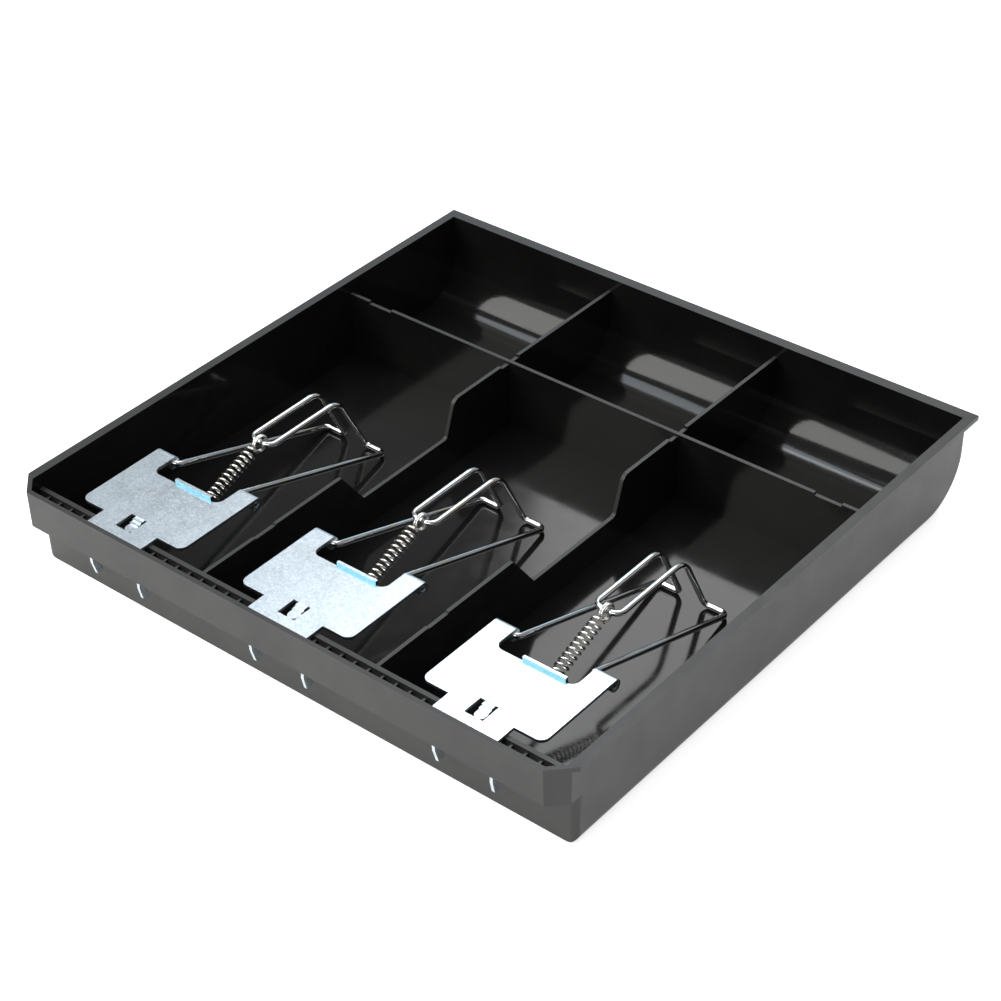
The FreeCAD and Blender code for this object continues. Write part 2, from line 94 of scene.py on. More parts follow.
class Recipe:
    """A material under construction: its node tree, its shader and short ways to add nodes."""

    def __init__(self, name: str) -> None:
        """Starts a material with one Principled shader.

        Args:
            name: The material's name.
        """
        self.material = bpy.data.materials.new(name)
        self.material.use_nodes = True
        self.tree = self.material.node_tree
        self.shader = self.tree.nodes["Principled BSDF"]
        self.place = self.tree.nodes.new("ShaderNodeTexCoord").outputs["Object"]

    def set(self, **values: float | Colour) -> None:
        """Sets the shader's own sockets; an underscore in a name stands for a space.

        Args:
            values: Each socket's name and its constant.
        """
        for name, value in values.items():
            socket = self.shader.inputs[name.replace("_", " ")]
            socket.default_value = (*value, 1.0) if isinstance(value, tuple) else value

    def feed(self, name: str, source: bpy.types.NodeSocket) -> None:
        """Links a node's output to one of the shader's sockets."""
        self.tree.links.new(source, self.shader.inputs[name])

    def noise(
        self,
        size: float,
        detail: float = 2.0,
        stretch: Point = (1.0, 1.0, 1.0),
        space: bpy.types.NodeSocket | None = None,
    ) -> bpy.types.NodeSocket:
        """A soft random field.

        Args:
            size: The width of one blotch, in metres.
            detail: How many finer octaves ride on it.
            stretch: How much more often it repeats along each axis.
            space: The coordinates that it reads; the object's own unless given.

        Returns:
            The field's value, about a half on average.
        """
        mapping = self.tree.nodes.new("ShaderNodeMapping")
        mapping.inputs["Scale"].default_value = stretch
        self.tree.links.new(space or self.place, mapping.inputs["Vector"])
        node = self.tree.nodes.new("ShaderNodeTexNoise")
        node.inputs["Scale"].default_value = 1.0 / size
        node.inputs["Detail"].default_value = detail
        self.tree.links.new(mapping.outputs["Vector"], node.inputs["Vector"])
        return node.outputs["Fac"]

    def crystals(self, size: float) -> bpy.types.NodeSocket:
        """Cells with a random grey each, as the crystals of a metal coating.

        Args:
            size: The width of one cell, in metres.

        Returns:
            The cells' grey value.
        """
        node = self.tree.nodes.new("ShaderNodeTexVoronoi")
        node.inputs["Scale"].default_value = 1.0 / size
        self.tree.links.new(self.place, node.inputs["Vector"])
        grey = self.tree.nodes.new("ShaderNodeRGBToBW")
        self.tree.links.new(node.outputs["Color"], grey.inputs["Color"])
        return grey.outputs["Val"]

    def ramp(
        self, source: bpy.types.NodeSocket, taken: Span, given: Span = FULL_SPAN
    ) -> bpy.types.NodeSocket:
        """Maps one span of a field's values on to another, and clamps them.

        Args:
            source: The field.
            taken: The field's values that give the two ends of the result.
            given: The two ends of the result.

        Returns:
            The mapped value.
        """
        node = self.tree.nodes.new("ShaderNodeMapRange")
        for name, value in zip(("From Min", "From Max", "To Min", "To Max"), taken + given):
            node.inputs[name].default_value = value
        self.tree.links.new(source, node.inputs["Value"])
        return node.outputs["Result"]

    def average(
        self, first: bpy.types.NodeSocket, second: bpy.types.NodeSocket
    ) -> bpy.types.NodeSocket:
        """The mean of two fields.

        Args:
            first: One field.
            second: The other field.

        Returns:
            Half of their sum.
        """
        node = self.tree.nodes.new("ShaderNodeMath")
        node.operation = "MULTIPLY_ADD"
        half = self.tree.nodes.new("ShaderNodeMath")
        half.operation = "MULTIPLY"
        half.inputs[1].default_value = 0.5
        self.tree.links.new(second, half.inputs[0])
        self.tree.links.new(first, node.inputs[0])
        node.inputs[1].default_value = 0.5
        self.tree.links.new(half.outputs["Value"], node.inputs[2])
        return node.outputs["Value"]

    def blend(
        self, factor: bpy.types.NodeSocket, dark: Colour, light: Colour
    ) -> bpy.types.NodeSocket:
        """A colour between two, by a field.

        Args:
            factor: The field, 0 for the first colour and 1 for the second.
            dark: The first colour.
            light: The second colour.

        Returns:
            The mixed colour.
        """
        node = self.tree.nodes.new("ShaderNodeMix")
        node.data_type = "RGBA"
        node.inputs["A"].default_value = (*dark, 1.0)
        node.inputs["B"].default_value = (*light, 1.0)
        self.tree.links.new(factor, node.inputs["Factor"])
        return node.outputs["Result"]

    def bump(self, *heights: tuple[bpy.types.NodeSocket, float]) -> None:
        """Stacks bumps on the shader's normal.

        Args:
            heights: Pairs of a height field and its depth in metres.
        """
        normal = None
        for height, depth in heights:
            node = self.tree.nodes.new("ShaderNodeBump")
            node.inputs["Distance"].default_value = depth
            self.tree.links.new(height, node.inputs["Height"])
            if normal is not None:
                self.tree.links.new(normal, node.inputs["Normal"])
            normal = node.outputs["Normal"]
        self.feed("Normal", normal)


@dataclass(frozen=True)
class BlackPlastic:
    """Black moulded plastic, polished or satin."""

    name: str
    dark: Colour
    light: Colour
    smooth: float
    rough: float
    grain: float
    grain_depth: float
    index: float
    cloud: float = 22 * MM
    haze: float = 9 * MM
    sink: float = 30 * MM
    sink_depth: float = 0.05 * MM

    def material(self) -> bpy.types.Material:
        """Clouded black with a moulded grain, and a gloss that varies over the surface.

        Returns:
            The material.
        """
        recipe = Recipe(self.name)
        clouds = recipe.ramp(recipe.noise(self.cloud, 3.0), CLOUD_SPAN)
        recipe.feed("Base Color", recipe.blend(clouds, self.dark, self.light))
        haze = recipe.average(recipe.noise(self.haze, 4.0), recipe.noise(self.grain, 1.0))
        recipe.feed("Roughness", recipe.ramp(haze, HAZE_SPAN, (self.smooth, self.rough)))
        recipe.set(IOR=self.index)
        sink = recipe.noise(self.sink, 1.0)
        recipe.bump((sink, self.sink_depth), (recipe.noise(self.grain, 2.0), self.grain_depth))
        return recipe.material


@dataclass(frozen=True)
class ZincSheet:
    """Zinc-plated sheet steel: a fine mottle of bluish white crystals."""

    name: str
    dark: Colour
    light: Colour
    smooth: float
    rough: float
    crystal: float = 0.4 * MM
    mottle: float = 1.6 * MM
    cloud: float = 7 * MM
    grain: float = 0.5 * MM
    grain_depth: float = 0.0015 * MM

    def material(self) -> bpy.types.Material:
        """A metal whose grey and gloss change from crystal to crystal.

        Returns:
            The material.
        """
        recipe = Recipe(self.name)
        cells = recipe.average(recipe.crystals(self.crystal), recipe.noise(self.mottle, 4.0))
        greys = recipe.ramp(cells, CLOUD_SPAN)
        recipe.feed("Base Color", recipe.blend(greys, self.dark, self.light))
        clouds = recipe.average(recipe.noise(self.cloud, 3.0), cells)
        recipe.feed("Roughness", recipe.ramp(clouds, HAZE_SPAN, (self.smooth, self.rough)))
        recipe.set(Metallic=1.0)
        recipe.bump((recipe.noise(self.grain, 2.0), self.grain_depth))
        return recipe.material


@dataclass(frozen=True)
class PlatedWire:
    """Bright metal wire with drawn lines along it and a warm tint in places."""

    name: str
    cool: Colour
    warm: Colour
    smooth: float
    rough: float
    tint_size: float
    tint_span: Span = (0.55, 0.75)
    line_stretch: Point = (150.0, 9.0, 1.0)
    line_depth: float = 0.004 * MM
    haze: float = 2.5 * MM

    def material(self) -> bpy.types.Material:
        """A metal tinted in patches, with lines that follow the wire.

        Returns:
            The material.
        """
        recipe = Recipe(self.name)
        tint = recipe.ramp(recipe.noise(self.tint_size, 2.0), self.tint_span)
        recipe.feed("Base Color", recipe.blend(tint, self.cool, self.warm))
        along = recipe.tree.nodes.new("ShaderNodeUVMap")
        along.uv_map = WIRE_MAP
        lines = recipe.noise(1.0, 3.0, self.line_stretch, along.outputs["UV"])
        haze = recipe.average(lines, recipe.noise(self.haze, 3.0))
        recipe.feed("Roughness", recipe.ramp(haze, HAZE_SPAN, (self.smooth, self.rough)))
        recipe.set(Metallic=1.0)
        recipe.bump((lines, self.line_depth))
        return recipe.material


ZINC_FACE = ZincSheet(
    name="zinc_sheet",
    dark=(0.50, 0.56, 0.60),
    light=(0.70, 0.76, 0.80),
    smooth=0.29,
    rough=0.36,
)
# Painted reflection: the bent strip's zinc is coloured blue-teal to stand in for a light-blue
# studio reflection, so from other sides it stays blue-teal where plain zinc would not.
ZINC_BEND_PAINTED_REFLECTION = ZincSheet(
    name="zinc_bend",
    dark=(0.13, 0.32, 0.42),
    light=(0.20, 0.42, 0.53),
    smooth=0.14,
    rough=0.22,
)
BAIL_NICKEL = PlatedWire(
    name="bright_nickel",
    cool=(0.76, 0.77, 0.78),
    warm=(0.80, 0.70, 0.52),
    smooth=0.03,
    rough=0.08,
    tint_size=9 * MM,
)
SPRING_STEEL = PlatedWire(
    name="spring_wire",
    cool=(0.92, 0.90, 0.87),
    warm=(0.74, 0.62, 0.50),
    smooth=0.08,
    rough=0.17,
    tint_size=3 * MM,
)


# ---------------------------------------------------------------------------------------------
# Surfaces
# ---------------------------------------------------------------------------------------------


def unit(vectors: np.ndarray) -> np.ndarray:
    """Vectors scaled to length 1, along the last axis."""
    return vectors / np.linalg.norm(vectors, axis=-1, keepdims=True)


def carried_frames(line: np.ndarray) -> tuple[np.ndarray, np.ndarray]:
    """Two cross directions at each point of a line, carried along it without twist.

    Between two points, the directions are turned by the smallest rotation that takes one tangent to
    the next: with a the turn's axis (the tangents' cross product) and c its cosine, the rotation is
    the identity, plus a's cross matrix, plus that matrix squared over 1 + c.

    Args:
        line: The points, one a row.

    Returns:
        The first and the second cross direction at each point.
    """
    tangents = unit(np.gradient(line, axis=0))
    axes = np.cross(tangents[:-1], tangents[1:])
    cosines = np.sum(tangents[:-1] * tangents[1:], axis=1)
    crosses = np.zeros((len(axes), 3, 3))
    crosses[:, [2, 0, 1], [1, 2, 0]] = axes
    crosses[:, [1, 2, 0], [2, 0, 1]] = -axes
    turns = np.eye(3) + crosses + crosses @ crosses / (1 + cosines)[:, None, None]
    helper = np.eye(3)[np.argmin(np.abs(tangents[0]))]
    first = unit(np.cross(tangents[0], helper))
    carried = np.array(list(accumulate(turns, lambda done, turn: turn @ done, initial=np.eye(3))))
    first = unit(carried @ first)
    return first, np.cross(tangents, first)


def new_piece(name: str, data: bpy.types.ID) -> bpy.types.Object:
    """Puts a mesh, a light or a camera into the scene as an object at the origin.

    Args:
        name: The object's name.
        data: The mesh, light or camera.

    Returns:
        The object.
    """
    item = bpy.data.objects.new(name, data)
    bpy.context.scene.collection.objects.link(item)
    return item


def face_table(mesh: bpy.types.Mesh) -> tuple[np.ndarray, np.ndarray]:
    """Reads where a mesh's faces lie and which way they point.

    Args:
        mesh: The mesh.

    Returns:
        The x, y and z of each face's middle, and of its normal, as three rows each.
    """
    middles = np.zeros(len(mesh.polygons) * 3, np.float32)
    mesh.polygons.foreach_get("center", middles)
    normals = np.zeros(len(mesh.polygons) * 3, np.float32)
    mesh.polygons.foreach_get("normal", normals)
    return middles.reshape(-1, 3).T, normals.reshape(-1, 3).T


def shade_by_angle(mesh: bpy.types.Mesh) -> None:
    """Shades a mesh smooth, with its sharp edges kept sharp."""
    mesh.shade_smooth()
    mesh.set_sharp_from_angle(angle=SHARP_EDGE)


def joint(name: str) -> dict[str, Any]:
    """The frame's joint of that name."""
    return next(item for item in frame["joints"] if item["name"] == name)


def wire(
    name: str,
    line: np.ndarray,
    radius: float,
    squeeze: np.ndarray | None = None,
    sides: int = 20,
) -> bpy.types.Object:
    """A closed round wire along a line, with softly rounded cut ends.

    A surface point is the line's point, plus radius times cosine of the angle times the first cross
    direction, plus radius times its sine times the second. At each end the radius follows a
    quarter circle's cosine while the line runs on by its sine times a share of the radius. Where
    the wire is squeezed, the offset loses its part along the squeeze, times the squeeze's own size.

    Args:
        name: The piece's name.
        line: The wire's middle line, one point a row.
        radius: The wire's radius.
        squeeze: A vector at each point of the line, along which the section is pressed flatter.
        sides: How many points go round the wire.

    Returns:
        The wire's object, with a UV map whose u is the length along it and whose v goes round it.
    """
    steps, bulge = 5, 0.45
    fade = np.linspace(0, math.pi / 2, steps + 1)[1:]
    start_way = unit(line[0] - line[1])
    end_way = unit(line[-1] - line[-2])
    reach = (np.sin(fade) * radius * bulge)[:, None]
    first, second = carried_frames(line)
    middles = np.vstack(((line[0] + start_way * reach)[::-1], line, line[-1] + end_way * reach))
    shares = np.concatenate((np.cos(fade)[::-1], np.ones(len(line)), np.cos(fade)))
    spread = np.pad(np.arange(len(line)), steps, mode="edge")
    angle = np.linspace(0, 2 * math.pi, sides, endpoint=False)[None, :, None]
    offsets = first[spread][:, None] * np.cos(angle) + second[spread][:, None] * np.sin(angle)
    offsets = offsets * (shares * radius)[:, None, None]
    if squeeze is not None:
        pressed = squeeze[spread][:, None]
        offsets = offsets - np.sum(offsets * pressed, axis=2, keepdims=True) * pressed
    rings = (middles[:, None] + offsets)[1:-1]
    count = len(rings)
    points = np.vstack((rings.reshape(-1, 3), middles[:1], middles[-1:]))

    ring, turn = np.meshgrid(np.arange(count - 1), np.arange(sides), indexing="ij")
    after = (turn + 1) % sides
    here, there = ring * sides, (ring + 1) * sides
    quads = np.stack((here + turn, here + after, there + after, there + turn), axis=2)
    quads = quads.reshape(-1, 4)
    around = np.arange(sides)
    beside = (around + 1) % sides
    low_pole, high_pole = count * sides, count * sides + 1
    last = (count - 1) * sides
    low_fan = np.stack((beside, around, np.full(sides, low_pole)), axis=1)
    high_fan = np.stack((last + around, last + beside, np.full(sides, high_pole)), axis=1)

    mesh = bpy.data.meshes.new(name)
    mesh.from_pydata(points.tolist(), [], quads.tolist() + low_fan.tolist() + high_fan.tolist())
    gaps = np.linalg.norm(np.diff(middles[1:-1], axis=0), axis=1)
    lengths = np.concatenate(([0], np.cumsum(gaps)))
    ring_u = np.stack((lengths[:-1], lengths[:-1], lengths[1:], lengths[1:]), axis=1)
    turn_v = np.stack((around, around + 1, around + 1, around), axis=1) / sides
    quad_uv = np.stack((np.repeat(ring_u, sides, axis=0), np.tile(turn_v, (count - 1, 1))), axis=2)
    fan_v = np.stack((around + 1, around, around + 0.5), axis=1) / sides
    low_uv = np.stack((np.zeros((sides, 3)), fan_v), axis=2)
    high_uv = np.stack((np.full((sides, 3), lengths[-1]), fan_v[:, [1, 0, 2]]), axis=2)
    corners = np.concatenate([part.reshape(-1, 2) for part in (quad_uv, low_uv, high_uv)])
    layer = mesh.uv_layers.new(name=WIRE_MAP)
    layer.uv.foreach_set("vector", corners.astype(np.float32).ravel())
    mesh.shade_smooth()
    return new_piece(name, mesh)


def bent_line(
    corners: np.ndarray, bends: list[float], flatten: float = 0.0
) -> tuple[np.ndarray, np.ndarray]:
    """The middle line of a bent wire: straight runs joined by arcs.

    An arc starts where the incoming run is its radius over the tangent of half the inner angle from
    the corner. Its point at angle w is its centre, plus cosine w times the first radius, plus the
    radius times sine w along the incoming run. The squeeze there points to the centre and grows as
    the square root of a half sine.

    Args:
        corners: The route's corners, one a row.
        bends: The bend radius at each inner corner.
        flatten: The share of its thickness that the wire loses in the middle of a bend.

    Returns:
        The line's points, and the squeeze at each one.
    """
    turns, runs = 14, 8
    share = np.linspace(0, 1, turns)[:, None]
    run_share = np.linspace(0, 1, runs + 1)[:-1, None]
    points, squeezes = [], []
    start = corners[0]
    for before, corner, after, radius in zip(corners[:-2], corners[1:-1], corners[2:], bends):
        back, ahead = unit(before - corner), unit(after - corner)
        half = math.acos(float(np.clip(back @ ahead, -1, 1))) / 2
        first = corner + back * radius / math.tan(half)
        centre = corner + unit(back + ahead) * radius / math.sin(half)
        angle = share * (math.pi - 2 * half)
        arc = centre + np.cos(angle) * (first - centre) - np.sin(angle) * radius * back
        points += [start + (first - start) * run_share, arc]
        inward = unit(centre - arc) * np.sqrt(flatten * np.sin(math.pi * share))
        squeezes += [np.zeros((runs, 3)), inward]
        start = arc[-1]
    points.append(start + (corners[-1] - start) * np.linspace(0, 1, runs + 1)[1:, None])
    squeezes.append(np.zeros((runs, 3)))
    line = np.vstack(points)
    shortest = 0.0001 * MM
    keep = np.concatenate(([True], np.linalg.norm(np.diff(line, axis=0), axis=1) > shortest))
    return line[keep], np.vstack(squeezes)[keep]


@dataclass(frozen=True)
class Scoop:
    """A quarter cylinder between a floor and a rear wall, hollow towards an axis along X."""

    axis_y: float
    axis_z: float
    radius: float
    stations: int = 72
    slack: float = 0.02 * MM
    outer_wall: float = 100 * MM
    same: float = math.radians(0.1)
    apart: float = math.radians(0.4)

    def holds(self, face: bmesh.types.BMFace) -> bool:
        """Whether a face lies on the cylinder.

        Args:
            face: A face of the mesh.

        Returns:
            True where all its corners are a radius from the axis and it doesn't face along it.
        """
        gaps = [math.hypot(v.co.y - self.axis_y, v.co.z - self.axis_z) for v in face.verts]
        curved = all(abs(gap - self.radius) < self.slack for gap in gaps)
        return curved and abs(face.normal.x) < 0.01

    def turn(self, vert: bmesh.types.BMVert) -> float:
        """A point's angle round the axis: 0 at the floor, a right angle at the rear wall."""
        return math.atan2(vert.co.y - self.axis_y, self.axis_z - vert.co.z)

    def refined(
        self, arc: list[bmesh.types.BMVert], extra: list[float]
    ) -> list[bmesh.types.BMVert]:
        """Cuts one end of the scoop at more angles.

        A new point lies at y = axis + radius times sine w, z = axis - radius times cosine w. Its x
        follows z in the same proportion as between the two ends, which keeps it on the flat wall
        beside the scoop.

        Args:
            arc: The end's points, from the floor to the rear wall.
            extra: The angles to add, in rising order.

        Returns:
            All its points, from the floor to the rear wall.
        """
        start, end = arc[0].co.copy(), arc[-1].co.copy()
        points = [arc[0]]
        for first, last in zip(arc, arc[1:]):
            for angle in [w for w in extra if self.turn(first) < w < self.turn(last)]:
                edge = next(e for e in points[-1].link_edges if e.other_vert(points[-1]) is last)
                point = bmesh.utils.edge_split(edge, points[-1], 0.5)[1]
                z = self.axis_z - self.radius * math.cos(angle)
                x = start.x + (end.x - start.x) * (z - start.z) / (end.z - start.z)
                point.co = (x, self.axis_y + self.radius * math.sin(angle), z)
                points.append(point)
            points.append(last)
        return points

    def regrid(self, work: bmesh.types.BMesh) -> None:
        """Replaces every such scoop of a mesh by a fine grid of long quads.

        The scoop's corners are sorted into the arcs at its ends by their x, to the millimetre. The
        outer walls lean, so all the corners past outer_wall go to one arc on each side.

        Args:
            work: The mesh.
        """
        faces = [face for face in work.faces if self.holds(face)]
        rims: dict[float, list[bmesh.types.BMVert]] = {}
        for vert in {v for face in faces for v in face.verts}:
            x = vert.co.x
            place = round(x / MM) if abs(x) < self.outer_wall else math.copysign(math.inf, x)
            rims.setdefault(place, []).append(vert)
        bmesh.ops.delete(work, geom=faces, context="FACES")
        arcs = [sorted(rims[place], key=self.turn) for place in sorted(rims)]
        for left, right in zip(arcs[::2], arcs[1::2]):
            own = [np.array([self.turn(vert) for vert in arc]) for arc in (left, right)]
            even = np.linspace(0, math.pi / 2, self.stations + 1)
            even = [w for w in even if np.abs(np.concatenate(own) - w).min() > self.apart]
            rows = []
            for arc, mine, other in ((left, own[0], own[1]), (right, own[1], own[0])):
                missing = [w for w in other if np.abs(mine - w).min() > self.same]
                rows.append(self.refined(arc, sorted(missing + even)))
            for corners in zip(rows[0][1:], rows[0][:-1], rows[1][:-1], rows[1][1:]):
                work.faces.new(corners)


def eased_copy(node: str, name: str, edge: float, scoop: Scoop | None = None) -> bpy.types.Object:
    """A copy of a CAD node's mesh with its doubles merged, flats made whole and edges rounded.

    Args:
        node: The CAD node.
        name: The new piece's name.
        edge: The width of the rounding along sharp edges.
        scoop: A hollow quarter cylinder to lay out afresh.

    Returns:
        The copy, with its rounding as a modifier.
    """
    doubles, flat = 0.002 * MM, math.radians(0.4)
    mesh = frame["nodes"][node].data.copy()
    mesh.name = name
    mesh.materials.clear()
    work = bmesh.new()
    work.from_mesh(mesh)
    bmesh.ops.remove_doubles(work, verts=work.verts, dist=doubles)
    bmesh.ops.dissolve_limit(work, angle_limit=flat, verts=work.verts, edges=work.edges)
    if scoop is not None:
        scoop.regrid(work)
    work.normal_update()
    work.to_mesh(mesh)
    work.free()
    shade_by_angle(mesh)
    piece = new_piece(name, mesh)
    bevel = piece.modifiers.new("eased_edges", "BEVEL")
    bevel.width = edge
    bevel.segments = 2
    bevel.limit_method = "ANGLE"
    bevel.angle_limit = SHARP_EDGE
    bevel.miter_outer = "MITER_ARC"
    normals = piece.modifiers.new("flat_faces", "WEIGHTED_NORMAL")
    normals.keep_sharp = True
    return piece


# ---------------------------------------------------------------------------------------------
# The object's pieces
# ---------------------------------------------------------------------------------------------


@dataclass
class Tray:
    """The moulded tray: polished inside, satin on its outer faces."""

    node: str = "tray"
    body: str = "insert"
    edge: float = 0.22 * MM
    skin: float = 1.0 * MM
    side_lip: float = 1.8 * MM
    side_lean: float = 0.7 * MM
    ledge_reach: float = 8.8 * MM
    corner_cut: float = 8.0 * MM
    divider: float = 39.1 * MM
    web_low: float = 28.6 * MM
    scoop: Scoop = Scoop(95.0 * MM, 22.0 * MM, 20.2 * MM)
    inside: BlackPlastic = BlackPlastic(
        name="polished_black",
        dark=(0.0058, 0.0060, 0.0058),
        light=(0.0090, 0.0092, 0.0088),
        smooth=0.07,
        rough=0.14,
        grain=0.6 * MM,
        grain_depth=0.0012 * MM,
        index=1.46,
    )
    outside: BlackPlastic = BlackPlastic(
        name="satin_black",
        dark=(0.031, 0.031, 0.031),
        light=(0.042, 0.042, 0.041),
        smooth=0.34,
        rough=0.44,
        grain=0.28 * MM,
        grain_depth=0.006 * MM,
        index=1.38,
    )

    def outer_faces(self, mesh: bpy.types.Mesh) -> np.ndarray:
        """Finds the faces of the tray's outer walls.

        A face is outside where its middle lies within a skin of an outer wall and its normal points
        out of that wall: sideways past the sides, forwards past the ledge or the lower front wall,
        across a cut corner, backwards behind the scoop's axis, or down. The tops of the rim, the
        ribs and the dividers, down into the dividers' notches, share that finish.

        Args:
            mesh: The tray's mesh.

        Returns:
            True for each outer face.
        """
        slight, slanted, level = 0.02, 0.3, 0.5
        low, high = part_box(self.node)
        (x, y, z), (nx, ny, nz) = face_table(mesh)
        side = high.x - self.side_lip - self.side_lean * (1 - z / high.z)
        sideways = (np.abs(x) > side - self.skin) & (nx * np.sign(x) > slanted)
        wall = low.y + self.ledge_reach
        forwards = (ny < -slanted) & ((y < low.y + self.skin) | (np.abs(y - wall) < self.skin))
        backwards = (ny > slight) & (y > self.scoop.axis_y)
        past_cut = np.abs(x) - y > high.x - low.y - self.corner_cut - self.skin
        cut = past_cut & (ny < -slanted) & (np.abs(nx) > slanted)
        below = (nz < -level) & (z < self.scoop.axis_z)
        tops = (nz > level) & (z > self.web_low)
        notches = (nz > slight) & (np.abs(np.abs(x) - self.divider) < self.skin)
        notches &= z > self.scoop.axis_z / 2
        return sideways | forwards | backwards | cut | below | tops | notches

    def build(self) -> bpy.types.Object:
        """Makes the tray's piece with its two finishes.

        Returns:
            The tray's object.
        """
        piece = eased_copy(self.node, "cash_tray", self.edge, self.scoop)
        for finish in (self.inside, self.outside):
            piece.data.materials.append(finish.material())
        outer = self.outer_faces(piece.data).astype(np.int32)
        piece.data.polygons.foreach_set("material_index", outer)
        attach(piece, self.body)
        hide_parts(self.node)
        return piece


@dataclass
class ClipPlate:
    """A clip's sheet-steel base plate, with a low lip along the root of its bent strip; the strip
    and the lip's upright faces carry a painted light-blue reflection.
    """

    side: Side
    finish: bpy.types.Material
    bend_painted_reflection: bpy.types.Material
    body: str = "insert"
    edge: float = 0.16 * MM
    strip_front: float = -80.2 * MM
    strip_rear: float = -78.4 * MM
    strip_left: float = -4.7 * MM
    strip_right: float = 12.8 * MM
    sheet: float = 1.2 * MM
    lip_rise: float = 1.5 * MM
    slack: float = 0.1 * MM

    def middle(self) -> float:
        """The x of the clip's middle."""
        return joint(f"{self.side.value}_bail_lift")["pos_m"][0]

    def add_lip(self, mesh: bpy.types.Mesh) -> None:
        """Adds the low lip that stands along the root of the bent strip.

        Args:
            mesh: The plate's mesh.
        """
        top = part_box(f"{self.side.value}_clip_plate")[1].z
        left, right = self.middle() + self.strip_left, self.middle() + self.strip_right
        low = Vector((left, self.strip_front, top - self.sheet / 2))
        high = Vector((right, self.strip_front + self.sheet, top + self.lip_rise))
        work = bmesh.new()
        work.from_mesh(mesh)
        cube = bmesh.ops.create_cube(work, size=1.0)["verts"]
        bmesh.ops.scale(work, vec=high - low, verts=cube)
        bmesh.ops.translate(work, vec=(low + high) / 2, verts=cube)
        work.to_mesh(mesh)
        work.free()
        shade_by_angle(mesh)

    def painted_reflection_faces(self, mesh: bpy.types.Mesh) -> np.ndarray:
        """Finds the faces that carry the painted light-blue reflection: the bent strip's and the
        upright faces of its lip.

        A face is one of them where its middle lies between the strip's ends, between the line on
        which its bend starts and its rear face, and where it doesn't face straight up.

        Args:
            mesh: The plate's mesh.

        Returns:
            True for each such face.
        """
        straight_up = 0.95
        (x, y, _), (_, _, nz) = face_table(mesh)
        beside = x - self.middle()
        inside = (y > self.strip_front - self.slack) & (y < self.strip_rear + self.slack)
        inside &= beside > self.strip_left - self.slack
        inside &= beside < self.strip_right + self.slack
        return inside & (nz < straight_up)

    def build(self) -> bpy.types.Object:
        """Makes the plate's piece.

        Returns:
            The plate's object.
        """
        node = f"{self.side.value}_clip_plate"
        piece = eased_copy(node, f"{self.side.value}_base_plate", self.edge)
        self.add_lip(piece.data)
        # The second material paints a light-blue reflection on to the bent strip and its lip.
        for finish in (self.finish, self.bend_painted_reflection):
            piece.data.materials.append(finish)
        strip = self.painted_reflection_faces(piece.data).astype(np.int32)
        piece.data.polygons.foreach_set("material_index", strip)
        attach(piece, self.body)
        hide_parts(node)
        return piece


@dataclass
class Bail:
    """A clip's wire bail: hinge ends, arms, feet, legs and a looped handle."""

    side: Side
    finish: bpy.types.Material
    wire_radius: float = 1.1 * MM
    arm_place: float = 14.8 * MM
    handle_half: float = 5.0 * MM
    crest_back: float = 12.5 * MM
    handle_front: float = 42.5 * MM
    elbow_round: float = 1.6 * MM
    presser_round: float = 2.6 * MM
    crest_round: float = 8.5 * MM
    hook_round: float = 3.0 * MM
    flatten: float = 0.2

    def corners(self) -> np.ndarray:
        """The corners of half the wire's route, from its end to the front of the handle.

        Returns:
            One corner a row, for a clip whose middle is at x = 0.
        """
        low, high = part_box(f"{self.side.value}_clip_bail")
        pivot = Vector(joint(f"{self.side.value}_bail_lift")["pos_m"])
        end = (high.x - low.x) / 2
        feet_y, feet_z = high.y - self.wire_radius, low.z + self.wire_radius
        handle_z = high.z - self.wire_radius
        return np.array(
            [
                (end, pivot.y, pivot.z),
                (self.arm_place, pivot.y, pivot.z),
                (self.arm_place, feet_y, feet_z),
                (self.handle_half, feet_y, feet_z),
                (self.handle_half, feet_y - self.crest_back, handle_z),
                (self.handle_half, -self.handle_front, handle_z),
            ]
        )

    def build(self) -> bpy.types.Object:
        """Makes the bail's piece.

        Returns:
            The bail's object.
        """
        name = self.side.value
        half = self.corners()
        route = np.vstack((half, half[::-1] * (-1, 1, 1)))
        route[:, 0] += joint(f"{name}_bail_lift")["pos_m"][0]
        feet, handle = [self.presser_round] * 2, [self.crest_round, self.hook_round]
        bends = [self.elbow_round, *feet, *handle]
        line, squeeze = bent_line(route, bends + bends[::-1], self.flatten)
        piece = wire(f"{name}_wire_bail", line, self.wire_radius, squeeze, sides=28)
        piece.data.materials.append(self.finish)
        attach(piece, f"{name}_bail")
        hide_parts(f"{name}_clip_bail")
        return piece


